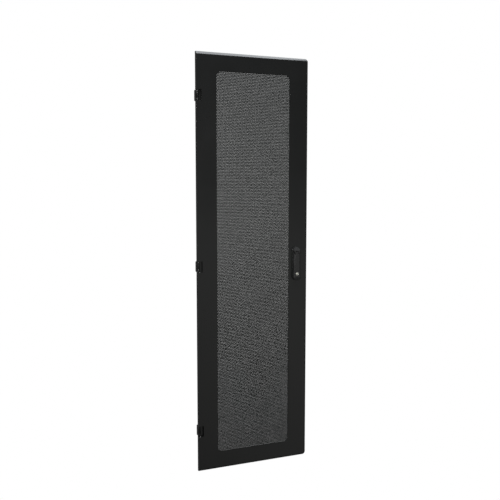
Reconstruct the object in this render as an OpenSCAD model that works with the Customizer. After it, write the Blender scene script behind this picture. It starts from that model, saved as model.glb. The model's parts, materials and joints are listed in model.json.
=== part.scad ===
// Perforated rack door on three edge hinges, with a swing handle and a two-point rod latch.
// X runs from the hinge side to the lock side, Y from the front to the back, Z is up.
// Modules work from the door's front lower hinge-side corner; placed() moves that
// to the centre of the lower hinge's two cabinet screws.

/* [Door] */
// Overall width of the door
door_w = 580; // [540:5:640]
// Overall height of the door
door_h = 2010; // [1700:10:2200]
// Depth of the folded edges
door_d = 20; // [19:0.5:26]
// Thickness of the door sheet
sheet_t = 1.5; // [1.2:0.1:1.8]
// Height of the bevel along the top, lock-side and bottom edges, seen from the front
bevel_face = 12; // [9:0.5:14]
// Depth of that bevel
bevel_depth = 9; // [6:0.5:10]
// Cut across the two lock-side corners
corner_cut = 12; // [8:1:18]
// Width of the return lip at the back
lip_w = 12; // [8:1:14]

/* [Window] */
// Height of the plain frame above and below the window
end_rail_h = 86; // [80:1:140]
// Radius of the window's corners
window_r = 30; // [15:1:45]
// Thickness of the perforated sheet
mesh_t = 1; // [0.8:0.1:1.5]
// Overlap of the perforated sheet on the back of the skin
mesh_lap = 8; // [5:0.5:8]
// Distance between hole centres in a row of the perforated sheet
mesh_pitch = 46; // [44:1:80]
// Width of a hole as a share of the pitch
mesh_open = 0.78; // [0.5:0.01:0.84]

/* [Stiffeners] */
// Thickness of the stiffener sheet
stiffener_t = 1.2; // [1:0.1:1.5]
// Height of the stiffeners' hat section
hat_h = 8; // [7:0.25:8.5]
// Width of the flanges welded to the skin
hat_flange = 7; // [5:0.5:8]
// Width of the hinge-side stiffener
hinge_hat_w = 51.5; // [46:0.5:60]
// Width of the lock-side stiffener
lock_hat_w = 55; // [54:0.5:66]
// Height of the top and bottom rails
rail_hat_w = 42; // [36:1:46]

/* [Hinges] */
// Height of each hinge
hinge_h = 51; // [44:1:60]
// Centre of the end hinges from the door's ends
hinge_inset = 200; // [150:1:260]
// Thickness of the hinge leaves
leaf_t = 2.5; // [2:0.25:2.5]
// Radius of the hinge pin
pin_r = 3; // [2.5:0.25:3]
// Running clearance of the door's knuckle on the pin
pin_clear = 0.05; // [0.03:0.01:0.08]
// Distance of the pin's axis from the hinge-side edge
hinge_axis_x = 6.5; // [6.5:0.25:8]
// Distance of the pin's axis behind the front face
hinge_axis_y = 6.5; // [6.5:0.25:7.5]
// Width of the notch in the door at each hinge
notch_w = 25; // [22:1:30]
// Play above and below a hinge in its notch
notch_play = 0.5; // [0.5:0.25:3]
// Reach of the frame leaf behind the front face
frame_leaf_reach = 38; // [36:1:44]
// Distance of the cabinet screws behind the front face
frame_screw_y = 30; // [28:0.5:31]
// Distance between the two cabinet screws of a hinge
frame_screw_pitch = 30; // [24:1:32]
// Radius of the cabinet screw holes
frame_hole_r = 2.75; // [2.25:0.25:3.25]

/* [Handle] */
// Centre line of the handle from the lock-side edge
handle_inset = 65; // [58:0.5:75]
// Height of the handle's turning axis above the door's bottom edge
head_z = 1068; // [900:1:1150]
// Width of the handle's base
base_w = 34; // [33:0.5:36]
// Thickness of the base plate on the skin
base_t = 4; // [3:0.25:4.5]
// Height of the handle in front of the skin
handle_d = 20; // [19:0.5:23]
// Radius of the turning head
head_r = 16; // [15:0.25:16.25]
// Width of the lever
lever_w = 30; // [26:0.5:30]
// Distance from the turning axis down to the lock
lock_drop = 117; // [112:1:130]
// Distance from the lock's axis up to the joint between lever and pod
joint_rise = 9.8; // [9:0.1:10.5]
// Radius of the lock barrel
barrel_r = 7; // [6:0.25:7.5]
// Radius of the key plug
plug_r = 4.5; // [4:0.25:5]

/* [Latch] */
// Thickness of the latch cam
cam_t = 3; // [2.5:0.25:3]
// Distance of the rod rivets from the cam's axis
crank_r = 16; // [15:0.25:17]
// Width of the latch rods
rod_w = 12; // [10:0.5:12]
// Thickness of the latch rods
rod_t = 3; // [2.5:0.25:3]
// Distance of the rod ends from the door's ends
rod_inset = 25; // [22:1:60]

/* [Hidden] */

eps = 0.01;
arc_fn = 64;
hole_fn = 32;

// Finishes
black_coat = [0.13, 0.13, 0.13];
mesh_coat = [0.22, 0.22, 0.22];
handle_coat = [0.16, 0.16, 0.16];
zinc = [0.72, 0.72, 0.68];
plastic = [0.08, 0.08, 0.08];

// Door
skin_back = sheet_t;
lip_front = door_d - sheet_t;
bevel_slant = sqrt(pow(1 / bevel_face, 2) + pow(1 / bevel_depth, 2));

// Stiffeners on both sides of the window, then the sheet and the window between them
crown_back = skin_back + hat_h;
crown_front = crown_back - stiffener_t;
hat_from_notch = 11;
hinge_hat_x0 = notch_w + hat_from_notch;
hinge_hat_x = hinge_hat_x0 + hinge_hat_w / 2;
handle_x = door_w - handle_inset;
clear_gap = 2;
mesh_x0 = hinge_hat_x0 + hinge_hat_w + clear_gap;
mesh_x1 = handle_x - lock_hat_w / 2 - clear_gap;
mesh_w = mesh_x1 - mesh_x0;
mesh_h = door_h - 2 * (end_rail_h - mesh_lap);
mesh_back = skin_back + mesh_t;
window_w = mesh_w - 2 * mesh_lap;
window_h = door_h - 2 * end_rail_h;
window_x = (mesh_x0 + mesh_x1) / 2;
window_z = door_h / 2;
rail_gap = 1;
rail_len = mesh_w + 2 * clear_gap - 2 * rail_gap;
rail_z = mesh_h / 2 + clear_gap + rail_hat_w / 2;
stiffener_len = door_h - 2 * (bevel_face + 2 * lip_w);

// Hinges
hinge_zs = [hinge_inset, door_h / 2, door_h - hinge_inset];
barrel_outer = pin_r + leaf_t;
leaf_outer_x = hinge_axis_x - barrel_outer;
leaf_inner_x = leaf_outer_x + leaf_t;
door_leaf_front = crown_back;
door_leaf_back = door_leaf_front + leaf_t;
knuckle_gap = 0.3;
middle_share = 0.46;
middle_knuckle = hinge_h * middle_share;
leaf_corner = 4;
leaf_past_screws = 16;
leaf_end_x = hinge_hat_x + leaf_past_screws;
pin_head_r = 4.5;
pin_head_t = 2;
leaf_screw_r = 2.5;
leaf_screw_pitch = 30;
leaf_screw_head_r = 4.5;
leaf_screw_head_t = 3;
leaf_nut_w = 9;
leaf_nut_t = 4;

// Handle
lock_z = head_z - lock_drop;
lever_end_r = lock_drop - joint_rise - 1;
pod_joint_r = lock_drop - joint_rise;
pod_r = base_w / 2;
pod_tip_drop = 17;
pod_tip_z = lock_z - pod_tip_drop;
seat_gap = 0.3;
head_back = -base_t - seat_gap;
lever_back = -base_t - 1.2;
neck_r = 9;
neck_clear = 0.05;
neck_boss_r = 12;
square_w = 9;
pivot_y = -12.5;
pivot_drop = 11;
ear_w = 14;
ear_r = 6.5;
ear_clear = 0.3;
lever_pin_r = 2;
slot_floor = -base_t - 1.7;
shoulder_drop = 18.5;
lever_chamfer = 3;
slope_run = 8;
fix_boss_r = 5;
upper_fix_drop = 32;
lower_fix_drop = 22;
fix_zs = [head_z - upper_fix_drop, lock_z - lower_fix_drop];
fix_screw_r = 2.1;
fix_grip = 9;
fix_head_r = 4.5;
fix_head_t = 3;
bezel_r = barrel_r + 1;
bezel_t = 1;
plug_clear = 0.05;
key_slot = [6, 6, 1.2];
tongue_r = 14.5;
tongue_t = 2.8;
tongue_w = 8;
tongue_front = -10;
tongue_back = tongue_front + tongue_t;
tongue_front_gap = 0.5;
tongue_back_gap = 0.3;
cavity_r = tongue_r + 0.5;
pocket_half_w = 11.5;
stub_w = 5;
tongue_screw_r = 1.5;
tongue_screw_grip = 4;
tongue_screw_head_r = 3.2;
tongue_screw_head_t = 2;

// Latch
cam_front = crown_back + 1;
cam_back = cam_front + cam_t;
rod_front = cam_back + 0.3;
rod_back = rod_front + rod_t;
rivet_r = 3;
rivet_head_r = 4.6;
rivet_head_t = 1;
cam_eye_r = 5;
cam_arm_half = cam_eye_r - 0.8;
crank_offset = crank_r * cos(45);
slot_mid = (crank_r + crank_offset) / 2;
slot_half_w = (crank_r - crank_offset) / 2 + rivet_r + 0.3;
slot_half_h = rivet_r + 0.03 * crank_r + 0.12;
rod_head_side = 1.9;
rod_head_end = 3.2;
rod_head_half_w = slot_half_w + rod_head_side;
rod_head_half_h = slot_half_h + rod_head_end;
rod_tip = 14;
washer_r = 5.5;
washer_t = 1.2;
cam_screw_r = 2.5;
cam_screw_grip = 12;
cam_screw_head_r = 4.2;
cam_screw_head_t = 2.6;
guide_w = 19;
guide_h = 14;
guide_back = rod_back + 1.6;
guide_clear = 0.1;
guide_peg_r = 2;
tip_to_guide = 45;
cam_to_guide = 5 * crank_r;

// Earthing stud
stud_r = 3;
stud_len = 15;
stud_from_hat = 14;
stud_x = hinge_hat_x0 - stud_from_hat;
stud_z = 70;

// The model's origin in door coordinates
origin_at = [leaf_inner_x, frame_screw_y, hinge_inset];

module placed() {
    translate(-origin_at) children();
}

// A prism along Y: outline drawn in X and Z, from y0 to y1
module along_y(y0, y1) {
    translate([0, y1, 0]) rotate([90, 0, 0]) linear_extrude(y1 - y0) children();
}

// A prism along X: outline drawn in Y and Z, from x0 to x1
module along_x(x0, x1) {
    translate([x0, 0, 0]) rotate([90, 0, 90]) linear_extrude(x1 - x0) children();
}

// A prism along Z: outline drawn in X and Y, from z0 to z1
module along_z(z0, z1) {
    translate([0, 0, z0]) linear_extrude(z1 - z0) children();
}

module rod_y(r, y0, y1, fn = hole_fn) {
    translate([0, y1, 0]) rotate([90, 0, 0]) cylinder(r = r, h = y1 - y0, $fn = fn);
}

module box(lo, hi) {
    translate(lo) cube(hi - lo);
}

// Rectangle with rounded corners, centred
module rounded_rect(w, h, r) {
    square([w - 2 * r, h], center = true);
    square([w, h - 2 * r], center = true);
    for (sx = [-1, 1], sz = [-1, 1])
        translate([sx * (w / 2 - r), sz * (h / 2 - r)]) circle(r = r, $fn = arc_fn);
}

// Where the bevel, moved inwards by a wall t, meets the face and the flange
function bevel_on_face(t) = bevel_face * (1 + t * bevel_slant - t / bevel_depth);
function bevel_on_flange(t) = bevel_depth * (1 + t * bevel_slant - t / bevel_face);

// The folded outline's solid, moved inwards by t on every side but the open back
module pan_block(t, back) {
    on_face = bevel_on_face(t);
    on_flange = bevel_on_flange(t);
    cut = corner_cut + t * (sqrt(2) - 1);
    intersection() {
        along_x(t, door_w - t) polygon([
            [t, on_face], [on_flange, t], [back, t],
            [back, door_h - t], [on_flange, door_h - t], [t, door_h - on_face]
        ]);
        along_z(0, door_h) polygon([
            [t, t], [door_w - on_face, t], [door_w - t, on_flange],
            [door_w - t, back], [t, back]
        ]);
        along_y(0, back) polygon([
            [t, t], [door_w - cut, t], [door_w - t, cut],
            [door_w - t, door_h - cut], [door_w - cut, door_h - t], [t, door_h - t]
        ]);
    }
}

module hinge_notches() {
    half = hinge_h / 2 + notch_play;
    for (z = hinge_zs)
        box([-1, -1, z - half], [notch_w, door_d + 1, z + half]);
}

module handle_cutouts() {
    for (z = fix_zs) translate([handle_x, 0, z]) rod_y(fix_boss_r + 0.3, -1, skin_back + 1);
    translate([handle_x, 0, head_z]) rod_y(neck_boss_r + 0.3, -1, skin_back + 1);
}

// One folded sheet: skin, bevels, flanges and return lips
module door_pan() {
    color(black_coat) difference() {
        pan_block(0, door_d);
        pan_block(sheet_t, lip_front);
        along_y(lip_front - eps, door_d + 1) polygon([
            [lip_w, lip_w], [door_w - lip_w, lip_w],
            [door_w - lip_w, door_h - lip_w], [lip_w, door_h - lip_w]
        ]);
        translate([window_x, 0, window_z]) along_y(-1, skin_back + eps)
            rounded_rect(window_w, window_h, window_r);
        hinge_notches();
        handle_cutouts();
    }
}

// Staggered holes that keep a plain border round the window
module perforations() {
    hole_r = mesh_pitch * mesh_open / 2;
    row_pitch = mesh_pitch * sin(60);
    border = 6;
    reach_x = window_w / 2 - border - hole_r;
    reach_z = window_h / 2 - border - hole_r;
    rows = floor(reach_z / row_pitch);
    for (row = [-rows:rows]) {
        shift = (row % 2 == 0) ? 0 : mesh_pitch / 2;
        holes = floor((reach_x - shift) / mesh_pitch);
        for (i = [-holes:holes + (shift > 0 ? 1 : 0)])
            translate([i * mesh_pitch - shift, row * row_pitch]) rotate(30) circle(r = hole_r, $fn = 6);
    }
}

module perforated_sheet() {
    color(mesh_coat) translate([window_x, 0, window_z]) along_y(skin_back, mesh_back) difference() {
        square([mesh_w, mesh_h], center = true);
        perforations();
    }
}

// Hat section: flanges on the skin, crown hat_h above it, open towards the skin
module hat_outline(w) {
    half = w / 2;
    web = half - hat_flange;
    difference() {
        union() {
            translate([-half, 0]) square([w, stiffener_t]);
            translate([-web, 0]) square([2 * web, hat_h]);
        }
        translate([-web + stiffener_t, -1]) square([2 * (web - stiffener_t), hat_h - stiffener_t + 1]);
    }
}

module hinge_side_stiffener() {
    color(black_coat) difference() {
        translate([hinge_hat_x, skin_back, 0])
            along_z((door_h - stiffener_len) / 2, (door_h + stiffener_len) / 2) hat_outline(hinge_hat_w);
        at_leaf_screws() rod_y(leaf_screw_r + 0.2, crown_front - 1, crown_back + 1);
    }
}

module lock_side_stiffener() {
    color(black_coat) difference() {
        translate([handle_x, skin_back, 0])
            along_z((door_h - stiffener_len) / 2, (door_h + stiffener_len) / 2) hat_outline(lock_hat_w);
        for (z = fix_zs) translate([handle_x, 0, z])
            rod_y(fix_screw_r + 0.4, crown_front - 1, crown_back + 1);
        translate([handle_x, 0, head_z]) rod_y(neck_r + 1, crown_front - 1, crown_back + 1);
        for (guide = guide_places) translate([guide[0], 0, guide[1]]) guide_pegs(0.1, 1);
    }
}

module rail(z) {
    color(black_coat) translate([0, skin_back, z])
        along_x(window_x - rail_len / 2, window_x + rail_len / 2) mirror([1, -1]) hat_outline(rail_hat_w);
}

module top_rail() {
    rail(window_z + rail_z);
}

module bottom_rail() {
    rail(window_z - rail_z);
}

// Frame leaf: plate at the door's side, two outer knuckles, two screw holes
module frame_leaf(z) {
    half = hinge_h / 2;
    mid = middle_knuckle / 2 + knuckle_gap;
    color(black_coat) translate([0, 0, z]) difference() {
        union() {
            along_x(leaf_outer_x, leaf_inner_x) polygon([
                [hinge_axis_y, -half], [frame_leaf_reach - leaf_corner, -half],
                [frame_leaf_reach, -half + leaf_corner], [frame_leaf_reach, half - leaf_corner],
                [frame_leaf_reach - leaf_corner, half], [hinge_axis_y, half]
            ]);
            translate([hinge_axis_x, hinge_axis_y, -half])
                cylinder(r = barrel_outer, h = hinge_h, $fn = arc_fn);
        }
        translate([hinge_axis_x, hinge_axis_y, -half - 1])
            cylinder(r = pin_r, h = hinge_h + 2, $fn = arc_fn);
        box([leaf_outer_x - 1, hinge_axis_y - barrel_outer - 1, -mid],
            [hinge_axis_x + barrel_outer + 1, hinge_axis_y + barrel_outer + 1, mid]);
        for (side = [-1, 1]) translate([leaf_outer_x - 1, frame_screw_y, side * frame_screw_pitch / 2])
            rotate([0, 90, 0]) cylinder(r = frame_hole_r, h = leaf_t + 2, $fn = hole_fn);
    }
}

module upper_frame_leaf() {
    frame_leaf(hinge_zs[2]);
}

module middle_frame_leaf() {
    frame_leaf(hinge_zs[1]);
}

module lower_frame_leaf() {
    frame_leaf(hinge_zs[0]);
}

module at_leaf_screws() {
    for (z = hinge_zs, side = [-1, 1])
        translate([hinge_hat_x, 0, z + side * leaf_screw_pitch / 2]) children();
}

// Door leaf: one middle knuckle and a plate behind the stiffener's crown
module door_leaf(z) {
    half = hinge_h / 2;
    mid = middle_knuckle / 2;
    clear_x = hinge_axis_x + barrel_outer + 1;
    color(black_coat) difference() {
        translate([0, 0, z]) union() {
            along_y(door_leaf_front, door_leaf_back) polygon([
                [hinge_axis_x, -mid], [clear_x, -mid], [clear_x, -half],
                [leaf_end_x - leaf_corner, -half], [leaf_end_x, -half + leaf_corner],
                [leaf_end_x, half - leaf_corner], [leaf_end_x - leaf_corner, half],
                [clear_x, half], [clear_x, mid], [hinge_axis_x, mid]
            ]);
            translate([hinge_axis_x, hinge_axis_y, -mid])
                cylinder(r = barrel_outer, h = middle_knuckle, $fn = arc_fn);
        }
        translate([hinge_axis_x, hinge_axis_y, z - mid - 1])
            cylinder(r = pin_r + pin_clear, h = middle_knuckle + 2, $fn = arc_fn);
        at_leaf_screws() rod_y(leaf_screw_r + 0.2, door_leaf_front - 1, door_leaf_back + 1);
    }
}

module upper_door_leaf() {
    door_leaf(hinge_zs[2]);
}

module middle_door_leaf() {
    door_leaf(hinge_zs[1]);
}

module lower_door_leaf() {
    door_leaf(hinge_zs[0]);
}

module hinge_pin(z) {
    color(zinc) translate([hinge_axis_x, hinge_axis_y, z - hinge_h / 2]) {
        cylinder(r = pin_r, h = hinge_h, $fn = arc_fn);
        translate([0, 0, hinge_h]) cylinder(r = pin_head_r, h = pin_head_t, $fn = arc_fn);
    }
}

module upper_hinge_pin() {
    hinge_pin(hinge_zs[2]);
}

module middle_hinge_pin() {
    hinge_pin(hinge_zs[1]);
}

module lower_hinge_pin() {
    hinge_pin(hinge_zs[0]);
}

module door_leaf_screws() {
    color(zinc) at_leaf_screws() union() {
        rod_y(leaf_screw_r, crown_front - leaf_nut_t, door_leaf_back);
        rod_y(leaf_screw_head_r, door_leaf_back, door_leaf_back + leaf_screw_head_t);
    }
}

module door_leaf_nuts() {
    color(zinc) at_leaf_screws() difference() {
        rod_y(leaf_nut_w / 2 / cos(30), crown_front - leaf_nut_t, crown_front, 6);
        rod_y(leaf_screw_r, crown_front - leaf_nut_t - 1, crown_front + 1);
    }
}

// Side view that slopes the front edge back towards the free end
module sloped_side(z_far, z_near, run) {
    polygon([
        [-handle_d + run, z_far], [0, z_far], [0, z_near], [-handle_d, z_near],
        [-handle_d, z_far + sign(z_near - z_far) * 2 * run]
    ]);
}

// Plan view of the grip: long front edges chamfered
module chamfered_plan(w) {
    half = w / 2;
    polygon([
        [-half, 0], [-half, -handle_d + lever_chamfer], [-half + lever_chamfer, -handle_d],
        [half - lever_chamfer, -handle_d], [half, -handle_d + lever_chamfer], [half, 0]
    ]);
}

// Front view of the base: two round ends
module base_outline() {
    for (z = [head_z, pod_tip_z]) translate([handle_x, z]) circle(r = pod_r, $fn = arc_fn);
    translate([handle_x - pod_r, pod_tip_z]) square([base_w, head_z - pod_tip_z]);
}

// Lock pod: below the joint arc, sloped towards its lower tip
module lock_pod() {
    intersection() {
        along_y(-handle_d, -base_t + eps) difference() {
            base_outline();
            translate([handle_x, head_z]) circle(r = pod_joint_r, $fn = 180);
        }
        along_x(handle_x - pod_r, handle_x + pod_r)
            sloped_side(pod_tip_z - pod_r, lock_z + tongue_r, slope_run);
        translate([handle_x, 0, 0]) along_z(pod_tip_z - pod_r, head_z) chamfered_plan(base_w);
    }
}

module handle_base() {
    color(handle_coat) difference() {
        union() {
            along_y(-base_t, 0) base_outline();
            lock_pod();
            translate([handle_x, 0, head_z]) rod_y(neck_boss_r, -eps, crown_front, arc_fn);
            for (z = fix_zs) translate([handle_x, 0, z]) rod_y(fix_boss_r, -eps, crown_front);
        }
        translate([handle_x, 0, head_z])
            rod_y(neck_r + neck_clear, -base_t - 1, crown_front + 1, arc_fn);
        for (z = fix_zs) translate([handle_x, 0, z])
            rod_y(fix_screw_r, crown_front - fix_grip, crown_front + 1);
        translate([handle_x, 0, lock_z]) {
            rod_y(barrel_r, -handle_d - 1, 1, arc_fn);
            rod_y(cavity_r, tongue_front - tongue_front_gap, tongue_back + tongue_back_gap, arc_fn);
            rod_y(barrel_r + 2, tongue_back, 1, arc_fn);
        }
    }
}

module head_turret() {
    intersection() {
        translate([handle_x, 0, head_z]) rod_y(head_r, -handle_d, head_back, arc_fn);
        along_x(handle_x - head_r, handle_x + head_r)
            sloped_side(head_z + head_r, head_z - head_r, slope_run);
    }
}

// Turning head: forked turret, neck through the base, square end for the cam
module turning_head() {
    ear_top = head_z - pivot_drop + ear_r + 0.5;
    color(handle_coat) difference() {
        union() {
            head_turret();
            translate([handle_x, 0, head_z]) rod_y(neck_r, head_back - eps, cam_front - 0.3, arc_fn);
            box([handle_x - square_w / 2, cam_front - 0.31, head_z - square_w / 2],
                [handle_x + square_w / 2, cam_back, head_z + square_w / 2]);
        }
        box([handle_x - ear_w / 2 - ear_clear, -handle_d - 1, head_z - head_r - 1],
            [handle_x + ear_w / 2 + ear_clear, slot_floor, ear_top]);
        translate([handle_x - head_r, pivot_y, head_z - pivot_drop]) rotate([0, 90, 0])
            cylinder(r = lever_pin_r, h = 2 * head_r, $fn = hole_fn);
        translate([handle_x, 0, head_z]) rod_y(cam_screw_r, cam_back - cam_screw_grip, cam_back + 1);
    }
}

// Lever: chamfered grip that ends in an arc struck from the turning axis
module swing_lever() {
    shoulder_z = head_z - shoulder_drop;
    pivot_z = head_z - pivot_drop;
    color(handle_coat) difference() {
        union() {
            intersection() {
                along_y(-handle_d, lever_back) intersection() {
                    translate([handle_x, head_z]) circle(r = lever_end_r, $fn = 180);
                    translate([handle_x - lever_w / 2, head_z - lock_drop])
                        square([lever_w, shoulder_z - head_z + lock_drop]);
                }
                translate([handle_x, 0, 0]) along_z(lock_z, head_z) chamfered_plan(lever_w);
            }
            translate([handle_x - ear_w / 2, pivot_y, pivot_z]) rotate([0, 90, 0])
                cylinder(r = ear_r, h = ear_w, $fn = arc_fn);
            box([handle_x - ear_w / 2, pivot_y - ear_r, shoulder_z - eps],
                [handle_x + ear_w / 2, pivot_y + ear_r, pivot_z]);
        }
        translate([handle_x - head_r, pivot_y, pivot_z]) rotate([0, 90, 0])
            cylinder(r = lever_pin_r + 0.05, h = 2 * head_r, $fn = hole_fn);
        box([handle_x - pocket_half_w, tongue_front - tongue_front_gap, lock_z],
            [handle_x + pocket_half_w, tongue_back + tongue_back_gap, lock_z + cavity_r]);
    }
}

module lever_pin() {
    pivot_z = head_z - pivot_drop;
    reach = sqrt(pow(head_r, 2) - pow(pivot_drop + lever_pin_r, 2)) - 0.1;
    color(zinc) translate([handle_x - reach, pivot_y, pivot_z]) rotate([0, 90, 0])
        cylinder(r = lever_pin_r, h = 2 * reach, $fn = hole_fn);
}

module handle_screws() {
    color(zinc) for (z = fix_zs) translate([handle_x, 0, z]) {
        rod_y(fix_screw_r, crown_front - fix_grip, crown_back);
        rod_y(fix_head_r, crown_back, crown_back + fix_head_t);
    }
}

module lock_barrel() {
    color(zinc) translate([handle_x, 0, lock_z]) difference() {
        union() {
            rod_y(barrel_r, -handle_d, tongue_front - tongue_front_gap, arc_fn);
            rod_y(bezel_r, -handle_d - bezel_t, -handle_d, arc_fn);
        }
        rod_y(plug_r + plug_clear, -handle_d - 2, 0, arc_fn);
    }
}

// Key plug: face with a key slot, square stub for the tongue
module key_plug() {
    face_y = -handle_d - bezel_t;
    color(zinc) translate([handle_x, 0, lock_z]) difference() {
        union() {
            rod_y(plug_r, face_y, tongue_front, arc_fn);
            box([-stub_w / 2, tongue_front - eps, -stub_w / 2], [stub_w / 2, tongue_back, stub_w / 2]);
        }
        box([-key_slot[0] / 2, face_y - 1, -key_slot[2] / 2],
            [key_slot[0] / 2, face_y + key_slot[1], key_slot[2] / 2]);
        rod_y(tongue_screw_r, tongue_back - tongue_screw_grip, tongue_back + 1);
    }
}

// Tongue, parked towards the hinge side while the lock is open
module lock_tongue() {
    color(zinc) translate([handle_x, 0, lock_z]) difference() {
        union() {
            rod_y(stub_w, tongue_front, tongue_back);
            intersection() {
                rod_y(tongue_r, tongue_front, tongue_back, arc_fn);
                box([-tongue_r, tongue_front, -tongue_w / 2], [0, tongue_back, tongue_w / 2]);
            }
        }
        box([-stub_w / 2, tongue_front - 1, -stub_w / 2], [stub_w / 2, tongue_back + 1, stub_w / 2]);
    }
}

module tongue_screw() {
    color(zinc) translate([handle_x, 0, lock_z]) {
        rod_y(tongue_screw_r, tongue_back - tongue_screw_grip, tongue_back);
        rod_y(tongue_screw_head_r, tongue_back, tongue_back + tongue_screw_head_t);
    }
}

// Places a child on each of the cam's two rivets
module at_rivets() {
    for (side = [-1, 1])
        translate([handle_x + side * crank_offset, 0, head_z + side * crank_offset]) children();
}

module latch_cam() {
    color(zinc) translate([handle_x, 0, head_z]) along_y(cam_front, cam_back) difference() {
        union() {
            circle(r = square_w / sqrt(2) + 2.5, $fn = arc_fn);
            rotate(45) square([2 * crank_r, 2 * cam_arm_half], center = true);
            for (turn = [45, 225]) rotate(turn) translate([crank_r, 0]) circle(r = cam_eye_r, $fn = arc_fn);
        }
        square(square_w, center = true);
        for (turn = [45, 225]) rotate(turn) translate([crank_r, 0]) circle(r = rivet_r - 1, $fn = hole_fn);
    }
}

module cam_rivets() {
    color(zinc) at_rivets() {
        rod_y(rivet_r - 1, cam_front, cam_back);
        rod_y(rivet_r, cam_back, rod_back + 0.3);
        rod_y(rivet_head_r, rod_back + 0.3, rod_back + 0.3 + rivet_head_t);
    }
}

module cam_washer() {
    color(zinc) translate([handle_x, 0, head_z]) difference() {
        rod_y(washer_r, cam_back, cam_back + washer_t);
        rod_y(cam_screw_r, cam_back - 1, cam_back + washer_t + 1);
    }
}

module cam_screw() {
    color(zinc) translate([handle_x, 0, head_z]) {
        rod_y(cam_screw_r, cam_back - cam_screw_grip, cam_back + washer_t);
        rod_y(cam_screw_head_r, cam_back + washer_t, cam_back + washer_t + cam_screw_head_t);
    }
}

// Flat rod above the cam, drawn on the turning axis; its tip is pointed
module rod_shape(len) {
    along_y(rod_front, rod_back) difference() {
        union() {
            translate([slot_mid - rod_head_half_w, crank_offset - rod_head_half_h])
                square([2 * rod_head_half_w, 2 * rod_head_half_h]);
            polygon([
                [slot_mid - rod_w / 2, crank_offset], [slot_mid + rod_w / 2, crank_offset],
                [slot_mid + rod_w / 2, len - rod_tip], [slot_mid + rod_w / 6, len],
                [slot_mid - rod_w / 6, len], [slot_mid - rod_w / 2, len - rod_tip]
            ]);
        }
        translate([slot_mid - slot_half_w, crank_offset - slot_half_h])
            square([2 * slot_half_w, 2 * slot_half_h]);
    }
}

module upper_rod() {
    color(zinc) translate([handle_x, 0, head_z]) rod_shape(door_h - rod_inset - head_z);
}

module lower_rod() {
    color(zinc) translate([handle_x, 0, head_z]) rotate([0, 180, 0]) rod_shape(head_z - rod_inset);
}

// Centre of each guide: upper rod's two, then lower rod's two
guide_places = [
    [handle_x + slot_mid, door_h - rod_inset - tip_to_guide],
    [handle_x + slot_mid, head_z + cam_to_guide],
    [handle_x - slot_mid, head_z - cam_to_guide],
    [handle_x - slot_mid, rod_inset + tip_to_guide]
];

module guide_pegs(play, extra) {
    for (side = [-1, 1]) translate([0, 0, side * guide_h / 4])
        rod_y(guide_peg_r + play, crown_front - extra, crown_back + (extra > 0 ? extra : eps));
}

// Moulded guide: block with a slot for the rod and two pegs into the stiffener
module rod_guide(place) {
    color(plastic) translate([place[0], 0, place[1]]) union() {
        difference() {
            box([-guide_w / 2, crown_back, -guide_h / 2], [guide_w / 2, guide_back, guide_h / 2]);
            box([-rod_w / 2 - guide_clear, rod_front - guide_clear, -guide_h],
                [rod_w / 2 + guide_clear, rod_back + guide_clear, guide_h]);
        }
        guide_pegs(0, 0);
    }
}

module upper_rod_top_guide() {
    rod_guide(guide_places[0]);
}

module upper_rod_low_guide() {
    rod_guide(guide_places[1]);
}

module lower_rod_top_guide() {
    rod_guide(guide_places[2]);
}

module lower_rod_low_guide() {
    rod_guide(guide_places[3]);
}

// Welded stud for the earthing lead
module earth_stud() {
    color(zinc) translate([stud_x, 0, stud_z]) rod_y(stud_r, skin_back, skin_back + stud_len);
}

placed() door_pan();
placed() perforated_sheet();
placed() hinge_side_stiffener();
placed() lock_side_stiffener();
placed() top_rail();
placed() bottom_rail();
placed() upper_frame_leaf();
placed() middle_frame_leaf();
placed() lower_frame_leaf();
placed() upper_door_leaf();
placed() middle_door_leaf();
placed() lower_door_leaf();
placed() upper_hinge_pin();
placed() middle_hinge_pin();
placed() lower_hinge_pin();
placed() door_leaf_screws();
placed() door_leaf_nuts();
placed() handle_base();
placed() turning_head();
placed() swing_lever();
placed() lever_pin();
placed() handle_screws();
placed() lock_barrel();
placed() key_plug();
placed() lock_tongue();
placed() tongue_screw();
placed() latch_cam();
placed() cam_rivets();
placed() cam_washer();
placed() cam_screw();
placed() upper_rod();
placed() lower_rod();
placed() upper_rod_top_guide();
placed() upper_rod_low_guide();
placed() lower_rod_top_guide();
placed() lower_rod_low_guide();
placed() earth_stud();
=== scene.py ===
# %% [markdown]
# # Perforated rack door
# The door hangs on three edge hinges, shows a finely perforated steel sheet through one tall window
# and closes with a swing handle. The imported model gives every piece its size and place. This script
# gives the pieces their finish, punches the sheet at its fine pitch and sets up the studio.

# %% Load the frame
import json
import math

import bmesh
import bpy
from mathutils import Matrix, Vector


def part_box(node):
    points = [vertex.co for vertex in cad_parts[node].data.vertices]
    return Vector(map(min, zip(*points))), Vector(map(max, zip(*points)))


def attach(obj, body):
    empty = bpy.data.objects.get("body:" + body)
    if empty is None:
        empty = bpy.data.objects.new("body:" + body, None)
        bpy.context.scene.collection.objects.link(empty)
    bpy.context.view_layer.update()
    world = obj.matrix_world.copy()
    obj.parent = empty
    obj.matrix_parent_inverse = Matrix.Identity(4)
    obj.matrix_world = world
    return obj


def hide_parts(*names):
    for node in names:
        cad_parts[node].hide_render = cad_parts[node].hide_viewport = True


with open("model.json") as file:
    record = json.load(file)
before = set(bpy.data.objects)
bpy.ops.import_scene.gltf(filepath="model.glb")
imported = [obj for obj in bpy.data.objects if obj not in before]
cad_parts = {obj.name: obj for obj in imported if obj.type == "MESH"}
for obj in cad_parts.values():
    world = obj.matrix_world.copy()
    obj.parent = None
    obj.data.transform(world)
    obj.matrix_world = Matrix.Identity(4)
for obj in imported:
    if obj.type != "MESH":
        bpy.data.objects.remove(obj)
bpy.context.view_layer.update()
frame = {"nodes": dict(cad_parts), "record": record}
nodes = frame["nodes"]
behaviour = frame["record"]["behaviour"]
body_of_node = {name: body for body, names in behaviour["bodies"].items() for name in names}

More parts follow.
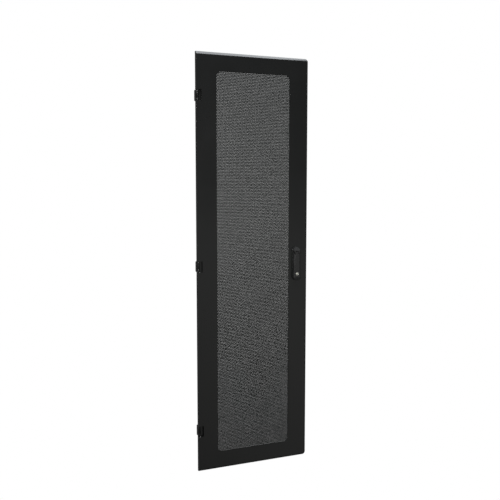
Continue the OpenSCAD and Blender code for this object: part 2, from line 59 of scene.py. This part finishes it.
# %% [markdown]
# ## Where things are
# The pan's box gives the door's front lower hinge-side corner, and every other place is measured from
# there or from the box of the node that the piece belongs to.

# %% Measures
MM = 0.001
pan_low, pan_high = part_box("door_pan")
sheet_low, sheet_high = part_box("perforated_sheet")
door_size = pan_high - pan_low
print("door", [round(v / MM) for v in door_size], "mm")


def in_door(x, y, z):
    """A point given in millimetres from the door's front lower hinge-side corner."""
    return pan_low + Vector((x, y, z)) * MM


# %% [markdown]
# ## Camera
# The camera stands to the left of the door at chest height and looks slightly down, so verticals
# lean in a little and the hinge-side edge shows as a thin strip.

# %% Camera
LENS = 49.98
SENSOR_WIDTH = 36.0
FAR_CLIP = 50.0
CAMERA_PLACE_MM = (-1012, -3116.7, 1405.4)
PITCH_DOWN = math.radians(5.556)
YAW_RIGHT = math.radians(22.329)
camera_data = bpy.data.cameras.new("camera")
camera_data.lens = LENS
camera_data.sensor_width = SENSOR_WIDTH
camera_data.clip_end = FAR_CLIP
camera = bpy.data.objects.new("camera", camera_data)
camera.location = in_door(*CAMERA_PLACE_MM)
camera.rotation_euler = (math.pi / 2 - PITCH_DOWN, 0.0, -YAW_RIGHT)
bpy.context.scene.collection.objects.link(camera)
bpy.context.scene.camera = camera
bpy.context.scene.view_settings.view_transform = "Standard"
print("camera at", [round(v, 3) for v in camera.location])

# %% [markdown]
# ## Powder coat grain
# A baked powder coat is never optically flat: it has a soft orange-peel swell and a finer sparkle of
# pinholes. Both are noise in object space, so the grain has the same size on every piece. The group
# puts out a height for a Bump node, a roughness that wavers, and a colour that wanders between two
# given ones in soft patches.


# %% Shared grain group
def new_group(name, inputs, outputs):
    """An empty shader group with its interface, and its input and output nodes."""
    group = bpy.data.node_groups.new(name, "ShaderNodeTree")
    for label, kind, value in inputs:
        socket = group.interface.new_socket(label, in_out="INPUT", socket_type=kind)
        socket.default_value = value
    for label, kind in outputs:
        group.interface.new_socket(label, in_out="OUTPUT", socket_type=kind)
    return group, group.nodes.new("NodeGroupInput"), group.nodes.new("NodeGroupOutput")


def math_node(tree, operation, first, second):
    """A Math node; each operand is a number or a socket."""
    node = tree.nodes.new("ShaderNodeMath")
    node.operation = operation
    for slot, operand in zip(node.inputs, (first, second)):
        if isinstance(operand, bpy.types.NodeSocket):
            tree.links.new(operand, slot)
        else:
            slot.default_value = operand
    return node.outputs[0]


def noise_node(tree, vector, scale, detail):
    """A noise texture on object coordinates; scale is a number or a socket."""
    node = tree.nodes.new("ShaderNodeTexNoise")
    node.inputs["Detail"].default_value = detail
    tree.links.new(vector, node.inputs["Vector"])
    if isinstance(scale, bpy.types.NodeSocket):
        tree.links.new(scale, node.inputs["Scale"])
    else:
        node.inputs["Scale"].default_value = scale
    return node.outputs["Fac"]


GRAIN_SHARE = 0.35
PATCH_SCALE = 6.0


def make_grain_group():
    """Relief, roughness and colour of a baked coat, from the values of each finish."""
    group, given, made = new_group(
        "coat_grain",
        [
            ("Swell Scale", "NodeSocketFloat", 300.0),
            ("Grain Scale", "NodeSocketFloat", 1500.0),
            ("Roughness", "NodeSocketFloat", 0.4),
            ("Roughness Spread", "NodeSocketFloat", 0.1),
            ("Dark Color", "NodeSocketColor", (0.0, 0.0, 0.0, 1.0)),
            ("Light Color", "NodeSocketColor", (0.1, 0.1, 0.1, 1.0)),
        ],
        [("Height", "NodeSocketFloat"), ("Roughness", "NodeSocketFloat"),
         ("Color", "NodeSocketColor")],
    )
    place = group.nodes.new("ShaderNodeTexCoord").outputs["Object"]
    swell = noise_node(group, place, given.outputs["Swell Scale"], 2.0)
    grain = noise_node(group, place, given.outputs["Grain Scale"], 1.0)
    patches = noise_node(group, place, PATCH_SCALE, 3.0)
    height = math_node(group, "ADD", swell, math_node(group, "MULTIPLY", grain, GRAIN_SHARE))
    centred = math_node(group, "SUBTRACT", patches, 0.5)
    wander = math_node(group, "MULTIPLY", centred, given.outputs["Roughness Spread"])
    roughness = math_node(group, "ADD", given.outputs["Roughness"], wander)
    colour = group.nodes.new("ShaderNodeMix")
    colour.data_type = "RGBA"
    group.links.new(patches, colour.inputs["Factor"])
    group.links.new(given.outputs["Dark Color"], colour.inputs["A"])
    group.links.new(given.outputs["Light Color"], colour.inputs["B"])
    group.links.new(height, made.inputs["Height"])
    group.links.new(roughness, made.inputs["Roughness"])
    group.links.new(colour.outputs["Result"], made.inputs["Color"])
    return group


grain_group = make_grain_group()
print("group", grain_group.name, "sockets", len(grain_group.interface.items_tree))

# %% [markdown]
# ## Finishes
# Six finishes cover the door: a semi-gloss black coat on the folded steel, a greyer satin coat on the
# perforated sheet, the handle's grained black, bright zinc on the hidden hardware, satin nickel on the
# lock and black plastic on the rod guides. One function builds them all, so they differ only in the
# values that are passed to it.


# %% Coated and plated materials
GRAIN_PER_SWELL = 5.0
BUMP_STRENGTH = 0.6


def coat_material(name, dark, light, roughness, bump_mm, swell=300.0, metallic=0.0, level=0.5):
    """A material whose colour wanders between dark and light, with the shared grain as relief."""
    material = bpy.data.materials.new(name)
    material.use_nodes = True
    tree = material.node_tree
    shader = tree.nodes["Principled BSDF"]
    grain = tree.nodes.new("ShaderNodeGroup")
    grain.node_tree = grain_group
    grain.inputs["Swell Scale"].default_value = swell
    grain.inputs["Grain Scale"].default_value = swell * GRAIN_PER_SWELL
    grain.inputs["Roughness"].default_value = roughness
    grain.inputs["Dark Color"].default_value = (*dark, 1.0)
    grain.inputs["Light Color"].default_value = (*light, 1.0)
    bump = tree.nodes.new("ShaderNodeBump")
    bump.inputs["Distance"].default_value = bump_mm * MM
    bump.inputs["Strength"].default_value = BUMP_STRENGTH
    tree.links.new(grain.outputs["Color"], shader.inputs["Base Color"])
    tree.links.new(grain.outputs["Roughness"], shader.inputs["Roughness"])
    tree.links.new(grain.outputs["Height"], bump.inputs["Height"])
    tree.links.new(bump.outputs["Normal"], shader.inputs["Normal"])
    shader.inputs["Metallic"].default_value = metallic
    shader.inputs["Specular IOR Level"].default_value = level
    return material


# name: dark colour, light colour, roughness, relief in mm, and what differs from a plain coat
FINISH_VALUES = {
    "door_coat": ((0.0050, 0.0053, 0.0051), (0.0070, 0.0073, 0.0070), 0.32, 0.05, {}),
    "mesh_coat": ((0.025, 0.026, 0.025), (0.033, 0.034, 0.033), 0.6, 0.03, {"level": 0.25}),
    "handle_coat": ((0.013, 0.013, 0.013), (0.018, 0.018, 0.018), 0.42, 0.03, {"swell": 900.0}),
    "zinc_plate": ((0.50, 0.50, 0.48), (0.60, 0.60, 0.58), 0.32, 0.01,
                   {"swell": 1200.0, "metallic": 1.0}),
    "lock_nickel": ((0.60, 0.60, 0.55), (0.68, 0.68, 0.63), 0.28, 0.005,
                    {"swell": 1500.0, "metallic": 1.0}),
    "guide_plastic": ((0.018, 0.018, 0.018), (0.024, 0.024, 0.024), 0.5, 0.02,
                      {"swell": 800.0}),
}
finishes = {name: coat_material(name, *plain, **special)
            for name, (*plain, special) in FINISH_VALUES.items()}
slot_of_node = {row["node"]: row["material_slot"] for row in frame["record"]["subparts"]}
print("finishes", sorted(finishes))

# %% Finish the carried-over nodes
for name, node in nodes.items():
    node.data.materials.clear()
    node.data.materials.append(finishes[slot_of_node[name]])
print("finished nodes", len(nodes))

# %% [markdown]
# ## Folded and cast edges
# Steel folds over a small radius and castings leave their mould with soft edges, and those edges are
# what catches the light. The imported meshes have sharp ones, so the visible pieces are copied, their
# loose triangles are merged back into clean faces, and each edge is rounded inside the old outline.

# %% Rounded copies
FLAT_ANGLE = math.radians(0.5)
SHARP_ANGLE = math.radians(28.0)
WELD = 0.002 * MM
PLATE_END_FROM = 20 * MM
PLATE_EXTRA = 5 * MM


def taller_plate(shell, name):
    """Lengthens a door leaf's plate behind the skin, so that no light passes its notch."""
    low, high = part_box(name)
    middle = (low.z + high.z) / 2
    for vert in shell.verts:
        above = vert.co.z - middle
        if abs(above) > PLATE_END_FROM:
            vert.co.z += math.copysign(PLATE_EXTRA, above)


def rounded_copy(name, radius_mm, segments):
    """A copy of a node with rounded edges; it stands for the node and rides on its body."""
    mesh = nodes[name].data.copy()
    mesh.name = name + "_finished"
    shell = bmesh.new()
    shell.from_mesh(mesh)
    bmesh.ops.remove_doubles(shell, verts=shell.verts, dist=WELD)
    bmesh.ops.dissolve_limit(
        shell, angle_limit=FLAT_ANGLE, verts=shell.verts, edges=shell.edges)
    if name.endswith("door_leaf"):
        taller_plate(shell, name)
    shell.to_mesh(mesh)
    shell.free()
    piece = bpy.data.objects.new(name + "_finished", mesh)
    bpy.context.scene.collection.objects.link(piece)
    bevel = piece.modifiers.new("edge_radius", "BEVEL")
    bevel.width = radius_mm * MM
    bevel.segments = segments
    bevel.limit_method = "ANGLE"
    bevel.angle_limit = SHARP_ANGLE
    bevel.use_clamp_overlap = True
    bevel.harden_normals = True
    evaluated = piece.evaluated_get(bpy.context.evaluated_depsgraph_get())
    plain = bpy.data.meshes.new_from_object(evaluated)
    piece.modifiers.clear()
    piece.data = plain
    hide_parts(name)
    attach(piece, body_of_node[name])
    return piece


# name: edge radius in mm, segments round it
ROUNDED = {
    "door_pan": (0.7, 2),
    "handle_base": (0.8, 3),
    "swing_lever": (1.0, 3),
    "turning_head": (0.8, 3),
    "lock_barrel": (0.3, 2),
    "key_plug": (0.2, 2),
    "upper_frame_leaf": (0.4, 2),
    "middle_frame_leaf": (0.4, 2),
    "lower_frame_leaf": (0.4, 2),
    "upper_door_leaf": (0.3, 1),
    "middle_door_leaf": (0.3, 1),
    "lower_door_leaf": (0.3, 1),
}
for name, (radius_mm, segments) in ROUNDED.items():
    piece = rounded_copy(name, radius_mm, segments)
    print(piece.name, len(piece.data.polygons), "faces")

# %% [markdown]
# ## Perforated sheet
# The sheet is punched in staggered rows. One punched cell, a flat ring between a six-sided hole and
# the cell's border, is set on a grid of points whose odd rows are moved by half a pitch. Plain half
# cells fill the ends of those rows, and a plain margin runs round the field. The flat field is then
# pulled back by the sheet's thickness, which makes the hole walls. The work is done by Geometry Nodes,
# because one set of inputs then drives some fourteen thousand holes.

# %% Sheet sizes
PITCH_AIM = 7.0 * MM
HOLE_R = 1.07 * MM
BORDER = 8 * MM
BANDS = 4
field_w = sheet_high.x - sheet_low.x - 2 * BORDER
field_h = sheet_high.z - sheet_low.z - 2 * BORDER
columns = round(field_w / PITCH_AIM)
pitch = field_w / columns
row_count = round(field_h / pitch)
row_pitch = field_h / row_count
rows_in_full_band = 2 * math.ceil(row_count / BANDS / 2)
sheet_t = sheet_high.y - sheet_low.y
print("columns", columns, "rows", row_count, "pitch", round(pitch / MM, 3), round(row_pitch / MM, 3))


# %% One punched cell
def flat_mesh(name, points, faces):
    """A flat mesh in the XY plane, as an object that only the node tree uses."""
    mesh = bpy.data.meshes.new(name)
    mesh.from_pydata([(x, y, 0.0) for x, y in points], [], faces)
    mesh.update()
    return bpy.data.objects.new(name, mesh)


def punched_cell():
    half, tall = pitch / 2, row_pitch / 2
    border = [(half, tall), (0.0, tall), (-half, tall),
              (-half, -tall), (0.0, -tall), (half, -tall)]
    turns = [math.radians(degrees) for degrees in (30, 90, 150, 210, 270, 330)]
    rim = [(HOLE_R * math.cos(turn), HOLE_R * math.sin(turn)) for turn in turns]
    ring = [(i, (i + 1) % 6, 6 + (i + 1) % 6, 6 + i) for i in range(6)]
    return flat_mesh("punched_cell", border + rim, ring)


def plain_half_cell():
    tall, quarter = row_pitch / 2, pitch / 4
    corners = [(-quarter, -tall), (quarter, -tall), (quarter, tall), (-quarter, tall)]
    return flat_mesh("plain_half_cell", corners, [(0, 1, 2, 3)])


cell = punched_cell()
half_cell = plain_half_cell()
print("cell faces", len(cell.data.polygons))


# %% The punching tree
CELL_WELD = 0.01
FACE_WELD = 0.001
NO_DEPTH = 0.00001


def socket_named(tree, label, kind, value):
    """Adds one named input and gives its identifier, by which a modifier sets it."""
    socket = tree.interface.new_socket(label, in_out="INPUT", socket_type=kind)
    if value is not None:
        socket.default_value = value
    return socket.identifier


class Wires:
    """Short calls for adding and joining the nodes of one tree."""

    def __init__(self, tree):
        self.tree = tree

    def add(self, kind, inputs=None, **settings):
        node = self.tree.nodes.new(kind)
        for key, value in settings.items():
            setattr(node, key, value)
        for key, value in (inputs or {}).items():
            if isinstance(value, bpy.types.NodeSocket):
                self.tree.links.new(value, node.inputs[key])
            else:
                node.inputs[key].default_value = value
        return node

    def calc(self, operation, first, second):
        return self.add("ShaderNodeMath", {0: first, 1: second}, operation=operation).outputs[0]


def make_punching_tree():
    """Flat cells on a staggered grid, plain margins, then the sheet's thickness."""
    tree = bpy.data.node_groups.new("punched_sheet", "GeometryNodeTree")
    sockets = [
        ("Columns", "NodeSocketInt", 10), ("Rows", "NodeSocketInt", 10),
        ("Pitch", "NodeSocketFloat", pitch), ("Row Pitch", "NodeSocketFloat", row_pitch),
        ("Thickness", "NodeSocketFloat", MM), ("Side Margin", "NodeSocketFloat", MM),
        ("Low Margin", "NodeSocketFloat", 0.0), ("High Margin", "NodeSocketFloat", 0.0),
        ("Cell", "NodeSocketObject", None), ("Half Cell", "NodeSocketObject", None),
        ("Material", "NodeSocketMaterial", None),
    ]
    ids = {label: socket_named(tree, label, kind, value) for label, kind, value in sockets}
    tree.interface.new_socket("Geometry", in_out="OUTPUT", socket_type="NodeSocketGeometry")
    wires = Wires(tree)
    given = tree.nodes.new("NodeGroupInput").outputs
    step, climb = given["Pitch"], given["Row Pitch"]
    rows, columns_in = given["Rows"], given["Columns"]
    place = wires.add("GeometryNodeInputPosition").outputs[0]
    across = wires.add("ShaderNodeSeparateXYZ", {0: place}).outputs
    row = wires.calc("FLOOR", wires.calc("DIVIDE", across["Y"], climb), 0.0)
    odd = wires.calc("MODULO", row, 2.0)

    def grid(count_x, count_y, size_x, size_y, offset):
        """A flat grid of points or quads, centred on the offset."""
        made = wires.add("GeometryNodeMeshGrid", {
            "Size X": size_x, "Size Y": size_y,
            "Vertices X": count_x, "Vertices Y": count_y}).outputs["Mesh"]
        return wires.add("GeometryNodeSetPosition", {"Geometry": made, "Offset": offset}).outputs[0]

    # the grid's vertices lie at the cell centres, from the lower left cell
    last_x = wires.calc("MULTIPLY", wires.calc("SUBTRACT", columns_in, 1.0), step)
    last_y = wires.calc("MULTIPLY", wires.calc("SUBTRACT", rows, 1.0), climb)
    centre = wires.add("ShaderNodeCombineXYZ", {
        "X": wires.calc("MULTIPLY", wires.calc("MULTIPLY", columns_in, step), 0.5),
        "Y": wires.calc("MULTIPLY", wires.calc("MULTIPLY", rows, climb), 0.5)}).outputs[0]
    field = grid(columns_in, rows, last_x, last_y, centre)
    stagger = wires.add("ShaderNodeCombineXYZ", {
        "X": wires.calc("MULTIPLY", wires.calc("MULTIPLY", odd, step), 0.5)}).outputs[0]
    field = wires.add("GeometryNodeSetPosition", {"Geometry": field, "Offset": stagger}).outputs[0]
    # the shifted rows hold one cell fewer
    spare = wires.add("FunctionNodeCompare", {0: across["X"], 1: wires.calc(
        "MULTIPLY", wires.calc("SUBTRACT", columns_in, 0.25), step)}, operation="GREATER_THAN").outputs[0]
    field = wires.add("GeometryNodeDeleteGeometry", {
        "Geometry": field, "Selection": spare}).outputs[0]
    cell_mesh = wires.add("GeometryNodeObjectInfo", {"Object": given["Cell"]}).outputs["Geometry"]
    cells = wires.add("GeometryNodeInstanceOnPoints", {
        "Points": field, "Instance": cell_mesh}).outputs[0]

    # plain half cells at both ends of the odd rows
    end_gap = wires.calc("MULTIPLY", wires.calc("SUBTRACT", columns_in, 0.5), step)
    ends = grid(2, rows, end_gap, last_y, centre)
    is_even = wires.calc("LESS_THAN", odd, 0.5)
    ends = wires.add("GeometryNodeDeleteGeometry", {
        "Geometry": ends, "Selection": is_even}).outputs[0]
    half_mesh = wires.add("GeometryNodeObjectInfo", {
        "Object": given["Half Cell"]}).outputs["Geometry"]
    halves = wires.add("GeometryNodeInstanceOnPoints", {
        "Points": ends, "Instance": half_mesh}).outputs[0]

    # margins: a column of quads at each side, and a row of half-pitch quads below and above
    def strip(count_x, count_y, size_x, size_y, x, y):
        to = wires.add("ShaderNodeCombineXYZ", {"X": x, "Y": y}).outputs[0]
        return grid(count_x, count_y, size_x, size_y, to)

    side, low, high = given["Side Margin"], given["Low Margin"], given["High Margin"]
    full_x = wires.calc("MULTIPLY", columns_in, step)
    full_y = wires.calc("MULTIPLY", rows, climb)
    half_x = wires.calc("MULTIPLY", full_x, 0.5)
    half_y = wires.calc("MULTIPLY", full_y, 0.5)
    rows_up = wires.calc("ADD", rows, 1.0)
    halves_up = wires.calc("ADD", wires.calc("MULTIPLY", columns_in, 2.0), 1.0)
    left_x = wires.calc("MULTIPLY", side, -0.5)
    right_x = wires.calc("ADD", full_x, wires.calc("MULTIPLY", side, 0.5))
    parts = [
        cells, halves,
        strip(2, rows_up, side, full_y, left_x, half_y),
        strip(2, rows_up, side, full_y, right_x, half_y),
    ]
    for depth, y in ((low, wires.calc("MULTIPLY", low, -0.5)),
                     (high, wires.calc("ADD", full_y, wires.calc("MULTIPLY", high, 0.5)))):
        band = [
            strip(halves_up, 2, full_x, depth, half_x, y),
            strip(2, 2, side, depth, left_x, y),
            strip(2, 2, side, depth, right_x, y),
        ]
        is_empty = wires.calc("LESS_THAN", depth, NO_DEPTH)
        for piece in band:
            parts.append(wires.add("GeometryNodeDeleteGeometry", {
                "Geometry": piece, "Selection": is_empty}, domain="FACE").outputs[0])
    join = wires.add("GeometryNodeJoinGeometry")
    for part in parts:
        tree.links.new(part, join.inputs[0])
    flat = wires.add("GeometryNodeRealizeInstances", {0: join.outputs[0]}).outputs[0]
    flat = wires.add("GeometryNodeMergeByDistance", {
        "Geometry": flat, "Distance": pitch * CELL_WELD}).outputs[0]

    # thickness: the pulled copy has the walls, the flipped one closes the other face
    down = wires.add("ShaderNodeCombineXYZ", {"Z": given["Thickness"]}).outputs[0]
    pulled = wires.add("GeometryNodeExtrudeMesh", {
        "Mesh": flat, "Offset": down, "Offset Scale": 1.0, "Individual": False}, mode="FACES").outputs[0]
    flipped = wires.add("GeometryNodeFlipFaces", {0: flat}).outputs[0]
    both = wires.add("GeometryNodeJoinGeometry")
    tree.links.new(pulled, both.inputs[0])
    tree.links.new(flipped, both.inputs[0])
    solid = wires.add("GeometryNodeMergeByDistance", {
        "Geometry": both.outputs[0], "Distance": pitch * FACE_WELD}).outputs[0]
    real = wires.add("GeometryNodeRealizeInstances", {0: solid}).outputs[0]
    done = wires.add("GeometryNodeSetMaterial", {
        "Geometry": real, "Material": given["Material"]}).outputs[0]
    tree.links.new(done, tree.nodes.new("NodeGroupOutput").inputs[0])
    return tree, ids


punching_tree, punching_ids = make_punching_tree()
print("tree nodes", len(punching_tree.nodes))


# %% Punch the bands
def set_inputs(modifier, ids, values):
    """Sets a modifier's inputs by the identifiers of its tree's sockets."""
    for label, value in values.items():
        modifier[ids[label]] = value


def punched_band(index):
    """One band of the sheet as a plain closed mesh, standing upright behind the window."""
    rows_below = index * rows_in_full_band
    maker = bpy.data.objects.new(f"band_maker_{index}", bpy.data.meshes.new(f"band_maker_{index}"))
    bpy.context.scene.collection.objects.link(maker)
    modifier = maker.modifiers.new("punching", "NODES")
    modifier.node_group = punching_tree
    set_inputs(modifier, punching_ids, {
        "Columns": columns, "Rows": min(rows_in_full_band, row_count - rows_below),
        "Pitch": pitch, "Row Pitch": row_pitch, "Thickness": sheet_t, "Side Margin": BORDER,
        "Low Margin": BORDER if index == 0 else 0.0,
        "High Margin": BORDER if index == BANDS - 1 else 0.0,
        "Cell": cell, "Half Cell": half_cell, "Material": finishes["mesh_coat"],
    })
    evaluated = maker.evaluated_get(bpy.context.evaluated_depsgraph_get())
    mesh = bpy.data.meshes.new_from_object(evaluated)
    bpy.data.objects.remove(maker)
    stand_up = Matrix.Rotation(math.pi / 2, 4, "X")
    to_place = Matrix.Translation(Vector((
        sheet_low.x + BORDER, sheet_high.y, sheet_low.z + BORDER + rows_below * row_pitch)))
    mesh.transform(to_place @ stand_up)
    piece = bpy.data.objects.new(f"punched_band_{index}", mesh)
    bpy.context.scene.collection.objects.link(piece)
    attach(piece, "door")
    return piece


bands = [punched_band(index) for index in range(BANDS)]
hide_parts("perforated_sheet")
for piece in bands:
    triangles = sum(len(face.vertices) - 2 for face in piece.data.polygons)
    print(piece.name, triangles, "triangles")
for helper in (cell, half_cell):
    bpy.data.objects.remove(helper)

# %% [markdown]
# ## Studio
# A black door shows mostly what it reflects. A wide soft box overhead makes the bevel along its top
# bright and the front faces stay dark, because they look at dim walls. The white surround is only
# what the camera sees: it puts no light on the door.


# %% Lamps
def soft_box(name, place_mm, aim_mm, size, power, colour, spread_deg):
    """A rectangular area lamp at one point of the door's own frame, aimed at another."""
    data = bpy.data.lights.new(name, "AREA")
    data.shape = "RECTANGLE"
    data.size, data.size_y = size
    data.energy = power
    data.spread = math.radians(spread_deg)
    data.color = colour
    lamp = bpy.data.objects.new(name, data)
    lamp.location = in_door(*place_mm)
    lamp.rotation_euler = (in_door(*aim_mm) - lamp.location).to_track_quat("-Z", "Y").to_euler()
    bpy.context.scene.collection.objects.link(lamp)
    return lamp


# name, place, aim, size in metres, watts, colour, spread in degrees
LAMPS = [
    ("overhead", (250, -300, 3400), (250, -299, 0), (2.2, 2.0), 100.0, (0.93, 0.97, 1.0), 180.0),
    ("key", (-1500, -2600, 2000), (290, 0, 1250), (0.7, 0.7), 4.5, (1.0, 1.0, 1.0), 36.0),
    ("card", (2000, -3000, -300), (290, 0, 500), (3.2, 2.8), 9.0, (1.0, 1.0, 0.97), 180.0),
]
for lamp_values in LAMPS:
    soft_box(*lamp_values)


# %% World
ROOM_LEVEL = 0.12
WHITE = (1.0, 1.0, 1.0, 1.0)


def make_world(level):
    """White to the camera, a dim even room to everything else."""
    world = bpy.data.worlds.new("studio")
    world.use_nodes = True
    tree = world.node_tree
    shown = tree.nodes["Background"]
    shown.inputs["Color"].default_value = WHITE
    room = tree.nodes.new("ShaderNodeBackground")
    room.inputs["Color"].default_value = WHITE
    room.inputs["Strength"].default_value = level
    ray = tree.nodes.new("ShaderNodeLightPath")
    choose = tree.nodes.new("ShaderNodeMixShader")
    tree.links.new(ray.outputs["Is Camera Ray"], choose.inputs["Fac"])
    tree.links.new(room.outputs[0], choose.inputs[1])
    tree.links.new(shown.outputs[0], choose.inputs[2])
    tree.links.new(choose.outputs[0], tree.nodes["World Output"].inputs["Surface"])
    bpy.context.scene.world = world


make_world(ROOM_LEVEL)
print("world", bpy.context.scene.world.name)
